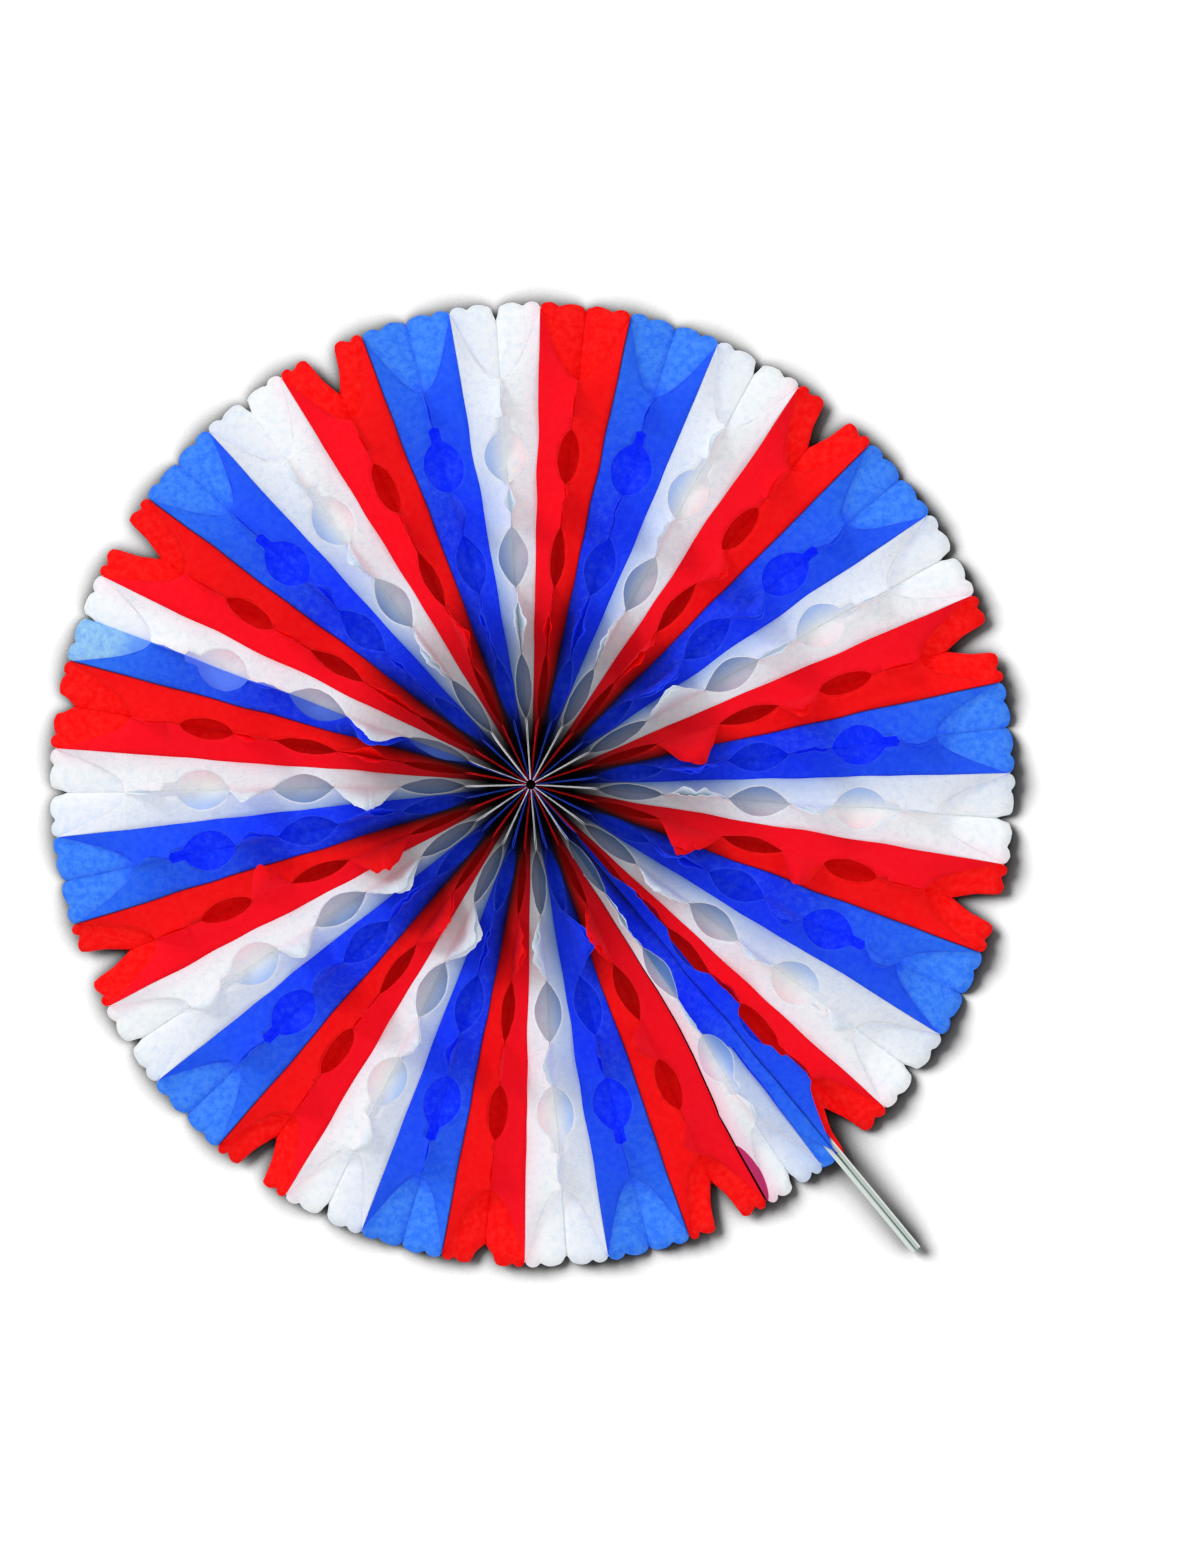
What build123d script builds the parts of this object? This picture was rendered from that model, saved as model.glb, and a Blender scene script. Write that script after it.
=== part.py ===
import os
from math import asin, cos, hypot, pi, radians, sin, tan

from build123d import *

# Driving dimensions in millimetres and degrees
paper = 0.3                    # one tissue sheet, thicker than the real one so that it is a sound solid
rim_radius = 300.0             # hub centre to the tips of the rim's scallops
hub_radius = 6.0               # hub centre to the sheets' inner ends
seam_hub = 31.0                # height of the glued seam's lower edge at the hub
seam_rim = 9.0                 # the same at the rim
seam_height = 6.0              # upright, from a seam's lower edge to its upper edge
roof_rim = 27.0                # height of the front fold line, carried on to the rim
scallop_depth = 3.5            # how far a scallop stands out at the rim
seam_scallop_share = 0.42      # of a half cell's rim, taken by the scallop beside the seam
arch_tip = 252.0               # hub centre to the tip of the pointed arch cut in the front
arch_power = 0.55              # below 1 the arch is round shouldered

# Openings in the front of a sheet, along the fold: inner end, outer end, half width in a common cell
common_pitch = 10.96
outer_hole = (187.0, 220.0, 12.4)
middle_hole = (122.0, 159.5, 8.8)
inner_hole = (41.5, 80.5, 4.5)
tab_length = 8.5               # small square-shouldered tab beyond the outer hole
tab_half_width = 3.6
hole_power = 0.7               # below 1 a hole is round, above it is pointed

# Crests that stand between the openings, along the fold: height above it
outer_crest = 16.0
middle_crest = 27.0
inner_crest = 33.0
hub_crest = 31.0               # at the hub the two wings lie flat together, as high as this
hub_crest_end = 34.0           # where their free edges turn down to the innermost opening
crest_power = 1.3              # above 1 a crest is hollow flanked
crest_room = 0.9               # of the half cell that a leaning crest may take up
most_lean = 50.0               # degrees from upright

# The red sheets are folded a little off the others, so their cuts come out narrower
red_hole_share = 0.5
notch = {"white": (0.5, 10.0), "blue": (0, scallop_depth), "red": (2.3, 27.0)}    # half angle, depth
shallow_notches = {2: (0, scallop_depth), 28: (1.4, 10.5)}    # red sheets that are folded further off

# Two bars close the fan, one inside each of the two cells that meet there
bar_width = 3.0
bar_height = 4.5
bar_clearance = 0.15           # between a bar and the wing behind it
bar_start = 90.0               # hub centre to the bars' inner ends
bar_end = 375.0                # hub centre to the bars' outer ends
tie_width = 1.2                # the binding's thickness along the radius
tie_height = 1.6
tie_clearance = 0.02
tie_runs = 12                  # straight runs that the thread makes round the hub

# Cells clockwise from the first seam: how many and how wide. The last ones share what is left.
first_seam = 350.0
pitches = [common_pitch] * 13 + [8.0, 10.3] + [10.03] * 7 + [10.67] * 6
last_cells = 6
pitches += [(360 - sum(pitches)) / last_cells] * last_cells
closing_cell = 14              # the bars lie on both sides of this cell's clockwise seam

# One word is a sheet folded once. Two words are two sheets, named clockwise.
colours = (
    "white,red,blue,white,red,blue,white,red,blue,white,red,blue,white,red blue,blue white,"
    "red,blue,white,red,blue,white,red,blue,white,red,blue,white,red,blue white,"
    "red,blue,white,red,blue"
).split(",")

# How far each crest's tip leans, in degrees about the hub, clockwise positive: outer, middle, inner
leans = {
    1: (0, 0, 1), 2: (0, 0.7, 0), 4: (-0.8, -1, -1.3), 5: (-0.6, 3.5, 2), 6: (1, 3, 3.8),
    7: (0, 0, -5.5), 8: (0, 2, 5), 9: (0.8, 0, 2), 10: (0, 1.3, -2), 11: (0, 4, 5),
    12: (1.5, 2.5, 1.5), 13: (2.2, 1.2, 3), 16: (1.5, 3, 3), 17: (0, 1, -5), 18: (0.5, 1, 3),
    19: (0, 1, -3.5), 20: (-0.3, 1, 0), 21: (-2, -2.7, -5), 22: (0, 0, -5), 23: (0.5, 2, 4.3),
    24: (-2.3, -4, -5), 25: (0, 4, -5), 26: (1, 1.5, 2.5), 27: (0, -2, -5), 28: (-0.5, 0, 0.5),
    31: (0, 1, 0), 32: (-1, -1.7, -3), 33: (0, 0, 2), 34: (0, 2, 0),
}

valley_radius = rim_radius - scallop_depth
roof_hub = seam_hub + seam_height          # at the hub the front fold line meets the seams' upper edge
front_rise = roof_rim - seam_rim - seam_height
beyond = 2 * rim_radius


def at(radius, angle):
    # A point seen from the front, in a frame whose Y axis is the cell's centre line
    return (radius * sin(radians(angle)), radius * cos(radians(angle)))


def rim_reach(pitch):
    return rim_radius * tan(radians(pitch / 2))


def skin(pitch, rise):
    # The paper's thickness measured upright in a wing that rises so much towards its fold
    return paper * hypot(1, rise / rim_reach(pitch))


def shares(count):
    return [step / (count + 1) for step in range(1, count + 1)]


def scallop(start, end):
    # One scallop of the rim between two angles, without its ends
    return [at(rim_radius, start + (end - start) * share) for share in (0.25, 0.75)]


def hole_side(opening, scale, corners):
    # One side of an opening, from its outer end to its inner end
    inner, outer, half_width = opening
    side = [
        (scale * half_width * sin(pi * share) ** hole_power, outer + (inner - outer) * share)
        for share in shares(corners)
    ]
    return side + [(0, inner)]


def both_sides(right, left):
    # One closed outline from two half outlines, without the points that they share
    mirrored = [(-x, y) for x, y in reversed(left)]
    return right + [point for point in mirrored if point not in (right[0], right[-1])]


def pleat(pitch, hub_level, rim_level, rise):
    # A strip of paper folded along the centre line, which at the rim is higher than the seams by the rise
    reach = rim_reach(pitch)
    inside = hub_level - skin(pitch, rise) * (1 if rise > 0 else -1)
    fall = hub_level - rim_level
    with BuildPart() as strip:
        with BuildSketch(Plane.XZ):
            with BuildLine():
                Polyline(
                    (-reach, hub_level - rise),
                    (0, hub_level),
                    (reach, hub_level - rise),
                    (reach, inside - rise),
                    (0, inside),
                    (-reach, inside - rise),
                    close=True,
                )
            make_face()
        extrude(amount=hypot(rim_radius, fall), dir=(0, rim_radius, -fall))
    return strip.part


def back_wings(pitch, notches):
    # The two wings behind the seams, with the scalloped rim, and their fold lying flat together
    half = pitch / 2
    sides = []
    for notch_angle, notch_depth in notches:
        middle = half - (half - notch_angle) * seam_scallop_share
        side = [at(hub_radius / cos(radians(half)), half), at(valley_radius, half)]
        side += scallop(half, middle) + [at(valley_radius, middle)]
        side += scallop(middle, notch_angle)
        if notch_angle:
            side += [at(valley_radius, notch_angle)]
        sides.append(side + [(0, rim_radius - notch_depth)])
    keel_end = min(side[-1][1] for side in sides)
    inside = seam_hub + skin(pitch, -seam_rim) / 2
    with BuildPart() as wings:
        add(pleat(pitch, seam_hub, 0, -seam_rim))
        with BuildSketch():
            with BuildLine():
                Polyline(*both_sides(sides[1], sides[0]), close=True)
            make_face()
        extrude(amount=beyond, both=True, mode=Mode.INTERSECT)
        with BuildSketch(Plane.YZ):
            with BuildLine():
                Polyline(
                    (hub_radius, 0),
                    (keel_end, 0),
                    (keel_end, inside - seam_hub * keel_end / rim_radius),
                    (hub_radius, inside - seam_hub * hub_radius / rim_radius),
                    close=True,
                )
            make_face()
        extrude(amount=paper / 2, both=True)
    return wings.part


def front_wings(pitch, pair):
    # The two wings before the seams, with the arch at the rim and the openings on the fold
    half = pitch / 2
    edge = [at(hub_radius / cos(radians(half)), half), at(valley_radius, half)]
    for share in (0.65, 0.25):
        radius = arch_tip + (valley_radius - arch_tip) * share
        edge.append((radius * tan(radians(half)) * share ** arch_power, radius))
    edge.append((0, arch_tip))
    tab = [(tab_half_width * 0.7, outer_hole[1] + tab_length), (tab_half_width, outer_hole[1] - paper)]
    with BuildPart() as wings:
        add(pleat(pitch, roof_hub, roof_rim, front_rise))
        with BuildSketch():
            with BuildLine():
                Polyline(*both_sides(edge, edge), close=True)
            make_face()
            for opening, corners in ((outer_hole, 3), (middle_hole, 3), (inner_hole, 2)):
                sides = []
                for colour in pair:
                    scale = pitch / common_pitch * (red_hole_share if colour == "red" else 1)
                    tabbed = opening is outer_hole and colour != "red"
                    top = tab if tabbed else [(0, opening[1])]
                    sides.append(top + hole_side(opening, scale, corners))
                with BuildLine():
                    Polyline(*both_sides(sides[1], sides[0]), close=True)
                make_face(mode=Mode.SUBTRACT)
        extrude(amount=beyond, both=True, mode=Mode.INTERSECT)
    return wings.part


def seam_level(outward):
    # Height of the seams' lower edge at a distance along the cell's centre line
    return seam_hub + (seam_rim - seam_hub) * outward / rim_radius


def seam_bands(pitch):
    # The upright band beside each seam, glued to the next sheet's band
    half = radians(pitch / 2)
    inner, outer = hub_radius / cos(half), valley_radius
    low = [(inner, seam_level(hub_radius)), (outer, seam_level(outer * cos(half)))]
    with BuildPart() as bands:
        for turn in (1, -1):
            seam = Plane(
                origin=(0, 0, 0),
                x_dir=(turn * sin(half), cos(half), 0),
                z_dir=(cos(half), -turn * sin(half), 0),
            )
            with BuildSketch(seam):
                with BuildLine():
                    Polyline(*low, *((r, level + seam_height) for r, level in reversed(low)), close=True)
                make_face()
            extrude(amount=-turn * paper)
    return bands.part


def fold_plane(tilt):
    # A plane through the front fold line, upright or tilted clockwise about it
    along = Vector(0, rim_radius, roof_rim - roof_hub).normalized()
    up = Vector(0, roof_hub - roof_rim, rim_radius).normalized()
    facing = Vector(1, 0, 0) * cos(tilt) - up * sin(tilt)
    return Plane(origin=(0, 0, roof_hub), x_dir=along, z_dir=facing)


def crests(pitch, lean):
    # The free edges of the two front wings, lying together and leaning to one side
    stretch = hypot(rim_radius, roof_rim - roof_hub) / rim_radius
    slope = front_rise / rim_reach(pitch)
    rows = [
        (outer_hole[1] + tab_length, arch_tip, outer_crest, lean[0], 1),
        (middle_hole[1], outer_hole[0], middle_crest, lean[1], 3),
        (inner_hole[1], middle_hole[0], inner_crest, lean[2], 3),
    ]
    with BuildPart() as fins:
        for start, end, height, tip_angle, corners in rows:
            middle = (start + end) / 2
            room = crest_room * middle * tan(radians(pitch / 2))
            aside = max(-room, min(room, middle * tan(radians(tip_angle))))
            lean_share = min(sin(radians(most_lean)), abs(aside) / height)
            tilt = asin(lean_share) * (1 if aside > 0 else -1)
            foot = -skin(pitch, front_rise) / 2 / (cos(tilt) - slope * abs(sin(tilt)))
            with BuildSketch(fold_plane(tilt)):
                with BuildLine():
                    edge = [
                        (start + (end - start) * share, height * sin(pi * share) ** crest_power)
                        for share in shares(corners)
                    ]
                    outline = [(start + paper, foot), *edge, (end - paper, foot)]
                    Polyline(*((y * stretch, v) for y, v in outline), close=True)
                make_face()
            extrude(amount=paper / 2, both=True)
        with BuildSketch(fold_plane(0)):
            with BuildLine():
                foot = -skin(pitch, front_rise) / 2
                Polyline(
                    (hub_radius * stretch, foot),
                    ((inner_hole[0] - paper) * stretch, foot),
                    (hub_crest_end * stretch, hub_crest),
                    (hub_radius * stretch, hub_crest),
                    close=True,
                )
            make_face()
        extrude(amount=paper / 2, both=True)
    return fins.part


def handle_bar(seam_angle, side, pitch):
    # A straight bar glued inside one closing sheet's band, just before its back wing
    fall = (seam_hub - seam_rim) / rim_radius * cos(radians(pitch / 2))
    outward = Vector(*at(1, seam_angle), -fall)
    up = Vector(*at(fall, seam_angle), 1)
    level = seam_hub + skin(pitch, -seam_rim) + bar_clearance + bar_height / 2 - fall * bar_start
    start = Vector(*at(bar_start, seam_angle), level)
    with BuildPart() as bar:
        with BuildSketch(Plane(origin=start, x_dir=up, z_dir=outward)):
            with Locations((0, side * (paper + bar_width / 2))):
                Rectangle(bar_height, bar_width)
        extrude(amount=(bar_end - bar_start) * outward.length)
    return bar


def save(built, name):
    built.part.label = name
    export_step(built.part, f"parts/{name}.step")
    print(name, round(built.part.volume, 1), len(built.part.solids()))


os.makedirs("parts", exist_ok=True)

seam_angle = first_seam
for number, (pitch, names) in enumerate(zip(pitches, colours), start=1):
    words = names.split()
    pair = (words[0], words[-1])
    middle = seam_angle + pitch / 2
    pieces = [
        back_wings(pitch, [shallow_notches.get(number, notch[colour]) for colour in pair]),
        front_wings(pitch, pair),
        seam_bands(pitch),
        crests(pitch, leans.get(number, (0, 0, 0))),
    ]
    if len(words) == 1:
        with BuildPart() as folded_sheet:
            add(pieces, rotation=(0, 0, -middle))
        save(folded_sheet, f"{words[0]}_sheet_{number:02d}")
    else:
        for word, kept in zip(words, (Keep.BOTTOM, Keep.TOP)):
            with BuildPart() as half_sheet:
                add(pieces, rotation=(0, 0, -middle))
                split(bisect_by=Plane.YZ.rotated((0, 0, -middle)), keep=kept)
            save(half_sheet, f"{word}_half_sheet_{number:02d}")
    seam_angle += pitch

closing_angle = first_seam + sum(pitches[:closing_cell])
for name, side, cell in (("upper_handle_bar", -1, closing_cell), ("lower_handle_bar", 1, closing_cell + 1)):
    save(handle_bar(closing_angle, side, pitches[cell - 1]), name)

with BuildPart() as hub_tie:
    with BuildSketch(Plane.XY.offset(seam_hub + (seam_height - tie_height) / 2)):
        outside = hub_radius - tie_clearance
        RegularPolygon(outside, tie_runs, rotation=-first_seam)
        RegularPolygon(outside - tie_width, tie_runs, rotation=-first_seam, mode=Mode.SUBTRACT)
    extrude(amount=tie_height)
save(hub_tie, "hub_tie")
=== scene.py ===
from math import atan, cos, degrees, pi, radians, sin

import bmesh
import bpy
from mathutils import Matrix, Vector


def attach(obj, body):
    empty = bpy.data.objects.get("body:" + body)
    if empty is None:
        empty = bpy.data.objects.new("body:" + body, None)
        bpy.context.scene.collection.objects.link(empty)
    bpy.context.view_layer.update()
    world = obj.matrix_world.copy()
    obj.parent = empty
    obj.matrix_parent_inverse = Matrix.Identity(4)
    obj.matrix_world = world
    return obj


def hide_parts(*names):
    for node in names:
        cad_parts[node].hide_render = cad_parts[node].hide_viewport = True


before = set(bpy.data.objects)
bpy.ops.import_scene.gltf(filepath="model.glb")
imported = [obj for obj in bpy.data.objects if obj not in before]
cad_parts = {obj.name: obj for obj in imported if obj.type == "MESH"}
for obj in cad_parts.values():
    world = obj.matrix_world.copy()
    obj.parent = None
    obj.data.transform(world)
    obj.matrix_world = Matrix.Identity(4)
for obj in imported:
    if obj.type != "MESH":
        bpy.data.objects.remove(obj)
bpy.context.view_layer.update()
print("frame loaded,", len(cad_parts), "nodes")


# Node trees: a wire is one socket, operators on it add Math nodes, and Nodes.add makes any other node
class Wire:
    def __init__(self, nodes, socket):
        self.nodes = nodes
        self.socket = socket

    def math(self, operation, *values):
        return self.nodes.add("ShaderNodeMath", {"operation": operation}, dict(enumerate(values)))

    def __add__(self, other):
        return self.math("ADD", self, other)

    def __sub__(self, other):
        return self.math("SUBTRACT", self, other)

    def __rsub__(self, other):
        return self.math("SUBTRACT", other, self)

    def __mul__(self, other):
        return self.math("MULTIPLY", self, other)

    def __truediv__(self, other):
        return self.math("DIVIDE", self, other)

    def __rtruediv__(self, other):
        return self.math("DIVIDE", other, self)

    def __pow__(self, other):
        return self.math("POWER", self, other)

    def __gt__(self, other):
        return self.math("GREATER_THAN", self, other)

    def __lt__(self, other):
        return self.math("LESS_THAN", self, other)

    def sine(self):
        return self.math("SINE", self)

    def cosine(self):
        return self.math("COSINE", self)

    def tangent(self):
        return self.math("TANGENT", self)

    def size(self):
        return self.math("ABSOLUTE", self)

    def sign(self):
        return self.math("SIGN", self)

    def inRadians(self):
        return self * (pi / 180)

    def atLeast(self, other):
        return self.math("MAXIMUM", self, other)

    def atMost(self, other):
        return self.math("MINIMUM", self, other)

    def hump(self, power):  # 0 at 0 and 1, 1 halfway
        return (self * pi).sine().atLeast(0) ** power

    def share(self, start, end):  # 0 before start, 1 after end
        return self.nodes.add("ShaderNodeMapRange", {"clamp": True}, {0: self, 1: start, 2: end})

    def above(self, least):  # least where it was 0, 1 where it was 1
        return least + self * (1 - least)

    def parts(self):
        return [self.nodes.add("ShaderNodeSeparateXYZ", None, {0: self}, axis) for axis in range(3)]

    __radd__ = __add__
    __rmul__ = __mul__


class Nodes:
    def __init__(self, tree):
        self.tree = tree

    def add(self, kind, settings=None, values=None, output=0):  # a list of wires goes into one socket
        made = self.tree.nodes.new(kind)
        for name, setting in (settings or {}).items():
            if name == "stops":
                ramp = made.color_ramp.elements
                while len(ramp) < len(setting):
                    ramp.new(1)
                for stop, (place, shade) in zip(ramp, setting):
                    stop.position = place
                    stop.color = shade
            else:
                setattr(made, name, setting)
        for key, given in (values or {}).items():
            socket = made.inputs[key] if isinstance(key, int) else self.find(made.inputs, key)
            for value in given if isinstance(given, list) else [given]:
                if isinstance(value, Wire):
                    self.tree.links.new(value.socket, socket)
                else:
                    socket.default_value = value
        if isinstance(output, str):
            return Wire(self, self.find(made.outputs, output))
        return Wire(self, made.outputs[output] if made.outputs else None)

    def find(self, sockets, name):
        return next(socket for socket in sockets if socket.name == name and socket.enabled)

    def mixColours(self, factor, first, second):
        return self.add("ShaderNodeMix", {"data_type": "RGBA"}, {0: factor, 6: first, 7: second}, 2)

    def scaled(self, shade, factor):
        return self.add("ShaderNodeVectorMath", {"operation": "SCALE"}, {0: shade, "Scale": factor})


def newMaterial(name):
    material = bpy.data.materials.new(name)
    material.use_nodes = True
    material.node_tree.nodes.clear()
    return material, Nodes(material.node_tree)


def newObject(name, data):
    made = bpy.data.objects.new(name, data)
    bpy.context.scene.collection.objects.link(made)
    return made


def colour(red, green, blue):  # a colour as a picture shows it, made linear
    return tuple(
        (c / 255 / 12.92 if c <= 10 else ((c / 255 + 0.055) / 1.055) ** 2.4) for c in (red, green, blue)
    ) + (1,)


# Tissue. The fold tree leaves on each sheet what a shade follows: its layer, how far round it lies from its
# fold, how far it is from its seam and from its free edge in millimetres, and how open it is to the light.
tissue = {
    "red": {
        # In each sheet, edge is the colour of a painted highlight along the cut edges
        "deep": colour(250, 4, 10), "light": colour(252, 8, 14), "rim": colour(242, 4, 6),
        "hole": [(0.0, colour(212, 2, 4)), (1.0, colour(200, 2, 4))],
        # tint is painted light: on red and blue the lit wing, on white the red sheet's reflection
        "fleck": colour(255, 60, 50), "edge": colour(255, 40, 34), "tint": colour(252, 2, 40),
        "cloudTint": colour(214, 0, 4), "cloud": 0.12, "grain": 0.08, "edgeShare": 0.25, "hubEdge": 0.1,
        "behind": 0.66, "darkSide": 1,
    },
    "white": {
        "deep": colour(236, 243, 250), "light": colour(250, 252, 254), "rim": colour(236, 240, 242),
        # on white the holes take a painted reflection, blue on one side and pink on the other
        "hole": [(0.25, colour(190, 214, 244)), (0.47, colour(228, 238, 240)),
                 (0.53, colour(246, 244, 234)), (0.78, colour(250, 230, 228))],
        "fleck": colour(252, 252, 252), "edge": colour(255, 255, 255), "tint": colour(250, 205, 222),
        "cloudTint": colour(206, 224, 243), "cloud": 0.5, "grain": 0.12, "edgeShare": 0.6, "hubEdge": 0.4,
        "behind": 0.84, "darkSide": 0,
    },
    "blue": {
        "deep": colour(12, 44, 250), "light": colour(38, 108, 244), "rim": colour(50, 122, 240),
        "hole": [(0.0, colour(10, 50, 252)), (1.0, colour(8, 46, 250))],
        "fleck": colour(110, 170, 250), "edge": colour(84, 140, 255), "tint": colour(20, 60, 250),
        "cloudTint": colour(16, 70, 240), "cloud": 0.3, "grain": 0.08, "edgeShare": 0.15, "hubEdge": 0.25,
        "behind": 0.6, "darkSide": -1,
    },
    "shadeTint": colour(96, 150, 225),    # a painted blue shade on white, beside the blue sheet
    "blush": colour(200, 50, 108),        # red seen through white
    "crest": colour(222, 237, 251),       # white where it stands up above the folds
    "deepHole": colour(176, 196, 246),    # white in the shade behind the inner holes
    "paleBack": colour(150, 200, 236),        # the back of the blue half sheet, paler, most at its rim
    "mottleScale": 240.0,                 # clouds in the tissue, per metre
    "fibreScale": 850.0,
    "roughness": 0.88,
    "specular": 0.15,
    "bump": 0.3,
    "bumpDepth": 0.0004,
    "glow": 0.3,                          # a painted glow by emission, for the light the thin tissue lets through
    "frontGlow": 0.5,                     # the front's share of that painted glow, as the back shows through holes
    "mottle": 0.42,                       # how much the flecks show at the rim
    "mottleInside": 0.4,                  # and their share elsewhere
    "fleckClouds": (0.42, 0.78),          # how thick a cloud is where it becomes a fleck
    "dullClouds": (0.3, 0.52),
    "paleBackClouds": (0.35, 0.6),
    "fibres": (0.3, 0.7),
    "paleBackShare": 0.35,                    # everywhere, more at the rim and most in its clouds
    "paleBackRim": 0.2,
    "paleBackCloud": 0.45,
    "deepHoleShare": 0.8,
    "crestOpen": (0.56, 0.7),             # how open to the light a crest is
    "crestShare": 0.6,
    "wingAngle": 5.4,                     # from a seam to a fold, about the hub
    "shadeReach": 1.1,                    # of that angle, from the seam on the blue sheet's side
    "shadeLeast": 0.2,                    # the share of the shade that is left at the rim
    "pinkReach": 0.5,                     # and the red sheet's painted reflection, which comes in away from the hub
    "pinkHub": 0.06,
    "pinkRim": 0.3,
    "sideTint": 0.45,                     # painted light on the lit wing of a red or blue sheet
    "mostTint": 0.85,
    "edgeWidth": (0.2, 1.0),              # of the painted highlight on the cut edges, in millimetres
    "hubEdgeWidth": 3,                    # what they gain at the hub
    "mostEdge": 0.9,
    "slitAngle": 1.1,                     # the slit that shows the red sheet's paper
    "slitPower": 0.6,
    "valleyPower": 3.5,                   # how fast the painted shade in the valleys near the hub deepens
    "rootDark": 0.6,                      # the painted shade at the very hub
    "lineWidth": (0.35, 0.9),             # the painted shadow line along a seam, in millimetres
    "lineShare": 0.7,
    "seamShade": 6.5,                     # and the painted shade beside it near the hub
    "seamShadeShare": 0.95,
    "zones": {                            # radii in millimetres from which on, and fully, each comes in
        "light": (165, 275), "rim": (232, 262), "paleBack": (262, 276), "lightHole": (96, 170),
        "shadeFree": (70, 230), "pink": (90, 200), "thinEdge": (20, 105), "narrowEdge": (25, 60),
        "slit": (257, 297), "brightValley": (26, 132), "brightBack": (40, 205), "brightRoot": (8, 62),
        "brightSeam": (85, 150),
    },
}


def makeTissue(name):
    shades = tissue[name]
    material, nodes = newMaterial(name + "Tissue")
    place = nodes.add("ShaderNodeTexCoord", output="Object")
    east, north, _ = place.parts()
    radius = (east * east + north * north) ** 0.5 * 1000

    def kept(attribute):
        return nodes.add("ShaderNodeAttribute", {"attribute_name": attribute}, output="Vector").parts()

    def zone(key):
        return radius.share(*tissue["zones"][key])

    layer, side, seamGap = kept("lie")
    edgeGap, openness, tone = kept("light")
    tint, blush, _ = kept("stain")
    clouds = nodes.add("ShaderNodeTexNoise", None, {
        "Vector": place, "Scale": tissue["mottleScale"], "Detail": 6.0, "Roughness": 0.68})
    fibres = nodes.add("ShaderNodeTexNoise", None, {
        "Vector": place, "Scale": tissue["fibreScale"], "Detail": 3.0, "Distortion": 1.6})

    # The paper's own colour with its flecks and clouds
    front = nodes.mixColours(zone("light"), shades["deep"], shades["light"])
    hole = nodes.add("ShaderNodeValToRGB", {"stops": shades["hole"]}, {"Fac": side * 0.5 + 0.5})
    back = nodes.mixColours(zone("rim"), hole, shades["rim"])
    base = nodes.mixColours(layer, front, back)
    flecks = clouds.share(*tissue["fleckClouds"]) * tissue["mottle"]
    flecks = flecks * (zone("rim") * layer).above(tissue["mottleInside"])
    base = nodes.mixColours(flecks, base, shades["fleck"])
    dull = (1 - clouds.share(*tissue["dullClouds"])) * shades["cloud"]
    base = nodes.mixColours(dull, base, shades["cloudTint"])

    # A paler back on the blue half sheet; painted shade behind white's inner holes; painted blue shade and a
    # painted pink reflection on white from the sheets beside it; painted light on the lit wing of red and blue
    if name == "blue":
        atRim = tissue["paleBackRim"] + clouds.share(*tissue["paleBackClouds"]) * tissue["paleBackCloud"]
        paleBack = layer * blush * (tissue["paleBackShare"] + zone("paleBack") * atRim)
        base = nodes.mixColours(paleBack, base, tissue["paleBack"])
    if name == "white":
        inShade = layer * (1 - zone("lightHole")) * tissue["deepHoleShare"]
        base = nodes.mixColours(inShade, base, tissue["deepHole"])
        inCrest = openness.share(*tissue["crestOpen"]) * (1 - layer) * tissue["crestShare"]
        base = nodes.mixColours(inCrest, base, tissue["crest"])
        across = seamGap / (radius * radians(tissue["wingAngle"]))
        fromBlue = (side < 0) * (1 - across.share(0, tissue["shadeReach"]))
        fromBlue = fromBlue * (1 - zone("shadeFree")).above(tissue["shadeLeast"]) * tint
        base = nodes.mixColours(fromBlue.atMost(tissue["mostTint"]), base, tissue["shadeTint"])
        tinted = (side > 0) * (1 - across.share(0, tissue["pinkReach"])) * tint
        tinted = tinted * (tissue["pinkHub"] + zone("pink") * tissue["pinkRim"])
    else:
        tinted = (side * -shades["darkSide"] > 0) * (1 - layer) * tissue["sideTint"]
    base = nodes.mixColours(tinted.atMost(tissue["mostTint"]), base, shades["tint"])

    # Painted highlight on the cut edges, and the slit
    edgeStart, edgeEnd = tissue["edgeWidth"]
    edgeEnd = edgeEnd + (1 - zone("narrowEdge")) * tissue["hubEdgeWidth"]
    edgeHighlight = (1 - edgeGap.share(edgeStart, edgeEnd)) * (1 - layer)
    edgeHighlight = edgeHighlight * (shades["edgeShare"] + (1 - zone("thinEdge")) * shades["hubEdge"])
    base = nodes.mixColours(edgeHighlight.atMost(tissue["mostEdge"]), base, shades["edge"])
    slitShare = seamGap / (radius * radians(tissue["slitAngle"]))
    inSlit = (slitShare < zone("slit").hump(tissue["slitPower"])) * (side > 0) * blush
    base = nodes.mixColours(inSlit, base, tissue["blush"])

    # Grain, and painted shade: dark between the folds and on the back near the hub
    grain = 1 - fibres.share(*tissue["fibres"]) * shades["grain"]
    dark = (1 - zone("brightValley")) * (1 - openness ** tissue["valleyPower"])
    # painted shade on the back layer near the hub
    behind = layer * (1 - zone("brightBack")) * shades["behind"]
    valley = (1 - dark) * (1 - behind)
    if name != "white":
        valley = valley * (1 - (1 - zone("brightRoot")) * tissue["rootDark"])
    # a painted shadow along the seam on each red and blue sheet's dark side
    atSeam = (side * shades["darkSide"] > 0) * (1 - layer)
    line = (1 - seamGap.share(*tissue["lineWidth"])) * tissue["lineShare"]
    besideLine = (1 - seamGap.share(0, tissue["seamShade"])) * (1 - zone("brightSeam"))
    shadow = 1 - atSeam * line.atLeast(besideLine * tissue["seamShadeShare"])
    lit = nodes.scaled(base, grain * valley * shadow * tone)

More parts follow.
